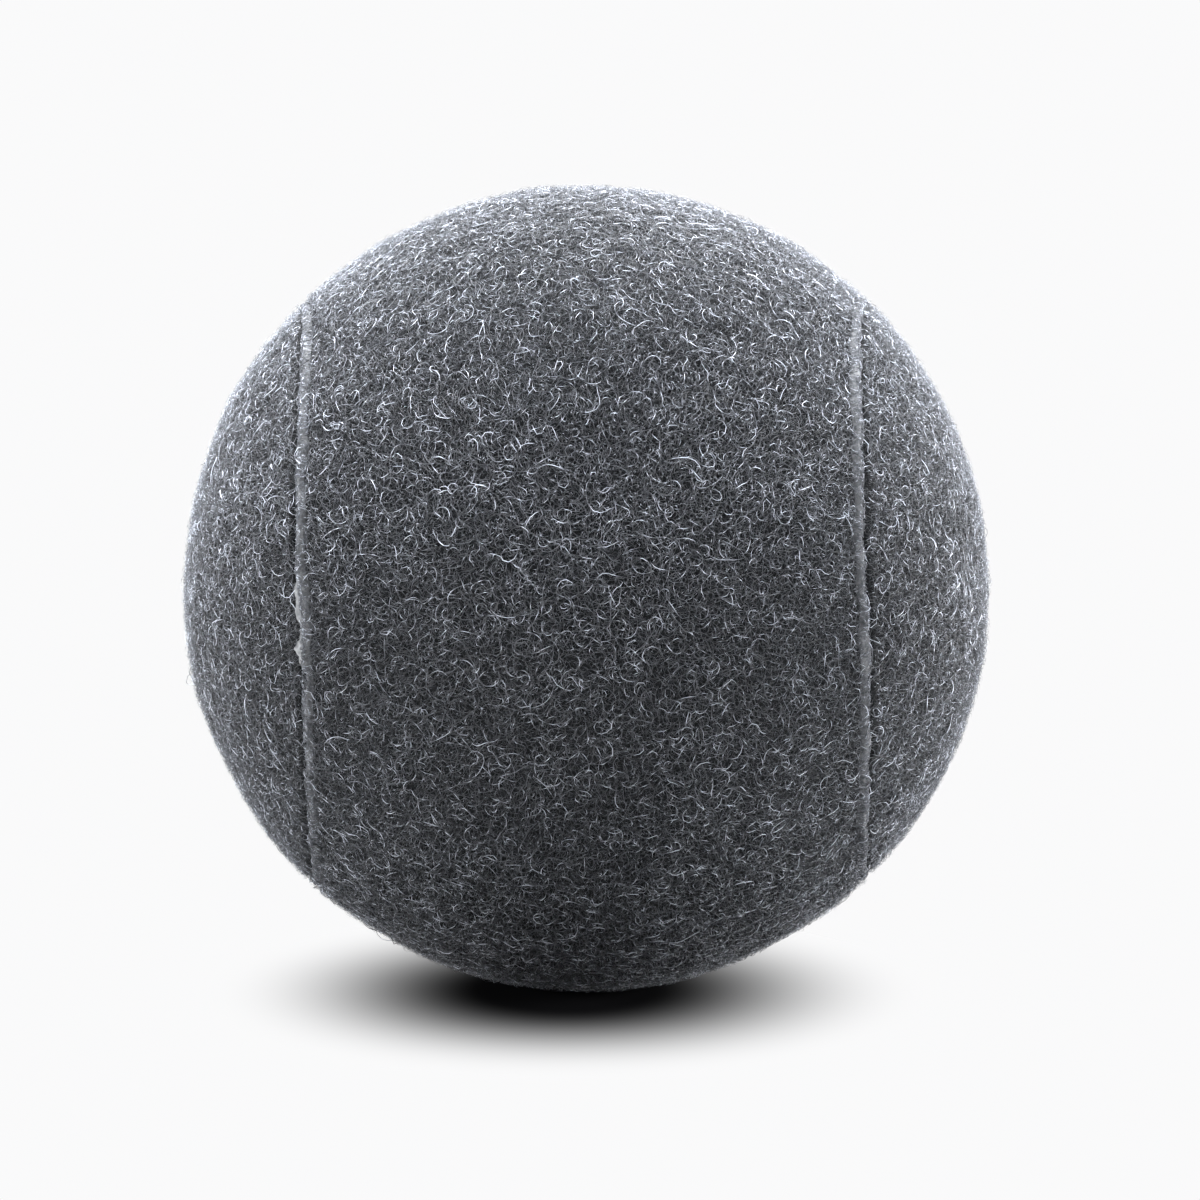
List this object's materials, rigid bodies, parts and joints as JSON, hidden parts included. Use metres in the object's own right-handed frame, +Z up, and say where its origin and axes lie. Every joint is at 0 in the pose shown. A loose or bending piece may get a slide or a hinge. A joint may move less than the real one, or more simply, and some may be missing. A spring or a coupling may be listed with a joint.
{
  "type": "tennis ball",
  "caption": "Hollow rubber ball for racket sports, covered in interlocking dumbbell-shaped panels of grey felt joined by a sunk rubber seam.",
  "frame": {"origin": "middle of the flat that the nap takes where the ball rests, at the bottom centre of the ball's box", "axes": "+Z up through the ball's centre, -Y towards the waist of the front felt panel, +X to the right seen from there"},
  "size_m": [0.0656, 0.0656, 0.065],
  "materials": {
    "core_rubber": "matte",
    "bond_rubber": "satin",
    "felt": "matte",
    "seam_rubber": "matte"
  },
  "bodies": {
    "root": {"core_lower": "core_rubber", "core_upper": "core_rubber", "core_bond": "bond_rubber", "cover_cement": "bond_rubber", "felt_panel_front": "felt", "felt_panel_rear": "felt", "seam_cement": "seam_rubber"}
  },
  "joints": []
}
